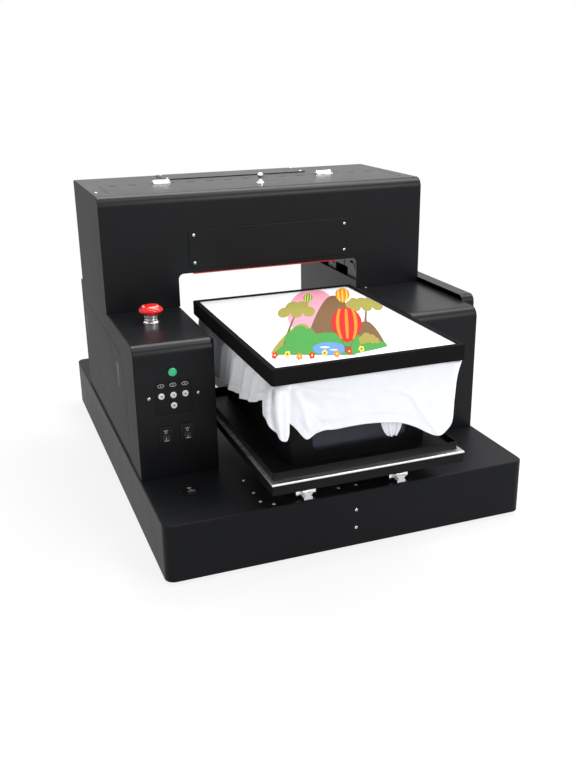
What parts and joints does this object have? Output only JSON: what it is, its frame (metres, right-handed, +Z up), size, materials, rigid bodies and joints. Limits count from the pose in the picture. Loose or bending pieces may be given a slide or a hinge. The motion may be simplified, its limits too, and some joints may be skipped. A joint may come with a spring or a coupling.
{
  "type": "flat-bed garment printer",
  "caption": "Desktop flat-bed garment printer with a sliding platen bed, clamping hoop, bridge housing, hinged top lid and side service door.",
  "frame": {"origin": "centre of the base housing's footprint, on the surface that the feet stand on", "axes": "+X to the right seen from the operator, +Y to the rear, the way the bed travels in, +Z up"},
  "size_m": [0.662, 0.9388, 0.5665],
  "materials": {
    "black_steel": "satin",
    "black_trim": "satin",
    "hoop_black": "satin",
    "grey_steel": "satin",
    "black_plastic": "satin",
    "gloss_black": "gloss",
    "white_plastic": "satin",
    "green_lens": "gloss",
    "red_plastic": "satin",
    "chrome": "polished",
    "ground_steel": "satin",
    "screw_steel": "satin",
    "silver_plate": "satin",
    "platen_alu": "matte",
    "motor_black": "satin",
    "rubber_black": "matte",
    "window_blue": "gloss",
    "cotton": "matte",
    "head_metal": "satin",
    "supply_metal": "satin",
    "tank_plastic": "satin",
    "cap_rubber": "matte"
  },
  "bodies": {
    "base": {"base_housing": "black_steel", "base_pan": "black_steel", "rubber_feet": "rubber_black", "guide_rails": "ground_steel", "left_tower_cover": "black_steel", "right_tower_cover": "black_steel", "left_side_panel": "black_steel", "right_side_panel": "black_steel", "inner_walls": "black_steel", "hood_cover": "black_steel", "hood_side_plates": "black_steel", "front_cover_plate": "black_steel", "rear_top_panel": "black_steel", "panel_screws": "screw_steel", "side_cabinet": "black_steel", "control_panel": "black_plastic", "switch_bezels": "gloss_black", "estop_collar": "chrome", "lid_hinges": "chrome", "engine_frame": "grey_steel", "carriage_guide_rod": "ground_steel", "drive_motors": "motor_black", "drive_belts": "rubber_black", "capping_station": "cap_rubber", "electronics": "supply_metal", "ink_tanks": "tank_plastic", "power_inlet": "black_plastic"},
    "door": {"left_door": "black_steel"},
    "door_latch_front": {"door_latch_1": "black_plastic"},
    "door_latch_rear": {"door_latch_2": "black_plastic"},
    "lid": {"top_lid": "black_steel", "lid_knob": "chrome", "lid_hinge_leaves": "chrome"},
    "bed": {"bearing_blocks": "chrome", "carriage_plate": "silver_plate", "bed_skirt": "black_trim", "bed_plate": "silver_plate", "platen_tray": "black_trim", "pedestal": "black_trim", "pedestal_window": "window_blue"},
    "lift_screw_body": {"lift_screw": "ground_steel"},
    "platen": {"platen_column": "black_trim", "platen_plate": "platen_alu", "tshirt": "cotton"},
    "clamp": {"clamp_frame": "hoop_black"},
    "carriage": {"print_carriage": "black_plastic", "print_head": "head_metal"},
    "bed_drive_pulley_body": {"bed_drive_pulley": "silver_plate"},
    "bed_idler_pulley_body": {"bed_idler_pulley": "silver_plate"},
    "head_drive_pulley_body": {"head_drive_pulley": "silver_plate"},
    "head_idler_pulley_body": {"head_idler_pulley": "silver_plate"},
    "estop_body": {"estop_head": "red_plastic"},
    "power_button_body": {"power_button": "green_lens"},
    "panel_button_1_body": {"panel_button_1": "white_plastic"},
    "panel_button_2_body": {"panel_button_2": "white_plastic"},
    "panel_button_3_body": {"panel_button_3": "white_plastic"},
    "panel_button_4_body": {"panel_button_4": "white_plastic"},
    "tower_rocker_1_body": {"tower_rocker_1": "gloss_black"},
    "tower_rocker_2_body": {"tower_rocker_2": "gloss_black"},
    "base_rocker_body": {"base_rocker": "gloss_black"}
  },
  "joints": [
    {"name": "bed_travel", "type": "slide", "parent": "base", "child": "bed", "axis": [0, 1, 0], "range_m": [0, 0.65]},
    {"name": "platen_lift", "type": "slide", "parent": "bed", "child": "platen", "axis": [0, 0, -1], "range_m": [0, 0.018]},
    {"name": "lift_screw_spin", "type": "hinge", "parent": "bed", "child": "lift_screw_body", "pos_m": [0, -0.2742, 0.2], "axis": [0, 0, 1], "range_deg": [0, 1621]},
    {"name": "clamp_lift", "type": "slide", "parent": "platen", "child": "clamp", "axis": [0, 0, 1], "range_m": [0, 0.045]},
    {"name": "head_travel", "type": "slide", "parent": "base", "child": "carriage", "axis": [-1, 0, 0], "range_m": [0, 0.447]},
    {"name": "head_drive_spin", "type": "hinge", "parent": "base", "child": "head_drive_pulley_body", "pos_m": [-0.275, 0.2185, 0.44], "axis": [0, 0, -1], "range_deg": [0, 2880]},
    {"name": "head_idler_spin", "type": "hinge", "parent": "base", "child": "head_idler_pulley_body", "pos_m": [0.275, 0.2185, 0.44], "axis": [0, 0, -1], "range_deg": [0, 2880]},
    {"name": "bed_drive_spin", "type": "hinge", "parent": "base", "child": "bed_drive_pulley_body", "pos_m": [0, 0.4, 0.075], "axis": [-1, 0, 0], "range_deg": [0, 2856]},
    {"name": "bed_idler_spin", "type": "hinge", "parent": "base", "child": "bed_idler_pulley_body", "pos_m": [0, -0.4, 0.075], "axis": [-1, 0, 0], "range_deg": [0, 2856]},
    {"name": "lid_hinge", "type": "hinge", "parent": "base", "child": "lid", "pos_m": [0, 0.112, 0.5495], "axis": [-1, 0, 0], "range_deg": [0, 100]},
    {"name": "door_hinge", "type": "hinge", "parent": "base", "child": "door", "pos_m": [-0.314, 0.0335, 0.1118], "axis": [0, -1, 0], "range_deg": [0, 90]},
    {"name": "door_latch_front_turn", "type": "hinge", "parent": "door", "child": "door_latch_front", "pos_m": [-0.3152, -0.121, 0.2709], "axis": [0, 1, 0], "range_deg": [0, 40]},
    {"name": "door_latch_rear_turn", "type": "hinge", "parent": "door", "child": "door_latch_rear", "pos_m": [-0.3152, 0.229, 0.2709], "axis": [0, 1, 0], "range_deg": [0, 40]},
    {"name": "estop_press", "type": "slide", "parent": "base", "child": "estop_body", "axis": [0, 0, -1], "range_m": [0, 0.004]},
    {"name": "power_button_press", "type": "slide", "parent": "base", "child": "power_button_body", "axis": [0, 1, 0], "range_m": [0, 0.002], "stiffness_N_per_m": 300},
    {"name": "panel_button_1_press", "type": "slide", "parent": "base", "child": "panel_button_1_body", "axis": [0, 1, 0], "range_m": [0, 0.0012], "stiffness_N_per_m": 300},
    {"name": "panel_button_2_press", "type": "slide", "parent": "base", "child": "panel_button_2_body", "axis": [0, 1, 0], "range_m": [0, 0.0012], "stiffness_N_per_m": 300},
    {"name": "panel_button_3_press", "type": "slide", "parent": "base", "child": "panel_button_3_body", "axis": [0, 1, 0], "range_m": [0, 0.0012], "stiffness_N_per_m": 300},
    {"name": "panel_button_4_press", "type": "slide", "parent": "base", "child": "panel_button_4_body", "axis": [0, 1, 0], "range_m": [0, 0.0012], "stiffness_N_per_m": 300},
    {"name": "tower_rocker_1_tip", "type": "hinge", "parent": "base", "child": "tower_rocker_1_body", "pos_m": [-0.2708, -0.271, 0.1825], "axis": [1, 0, 0], "range_deg": [0, 20]},
    {"name": "tower_rocker_2_tip", "type": "hinge", "parent": "base", "child": "tower_rocker_2_body", "pos_m": [-0.2342, -0.271, 0.1825], "axis": [1, 0, 0], "range_deg": [0, 20]},
    {"name": "base_rocker_tip", "type": "hinge", "parent": "base", "child": "base_rocker_body", "pos_m": [-0.25, -0.336, 0.1055], "axis": [1, 0, 0], "range_deg": [0, 20]}
  ],
  "couplings": [
    {"joint": "lift_screw_spin", "follows": "platen_lift", "rad_per_m": 1570.8},
    {"joint": "head_drive_spin", "follows": "head_travel", "rad_per_m": 112.36},
    {"joint": "head_idler_spin", "follows": "head_travel", "rad_per_m": 112.36},
    {"joint": "bed_drive_spin", "follows": "bed_travel", "rad_per_m": 76.63},
    {"joint": "bed_idler_spin", "follows": "bed_travel", "rad_per_m": 76.63}
  ]
}
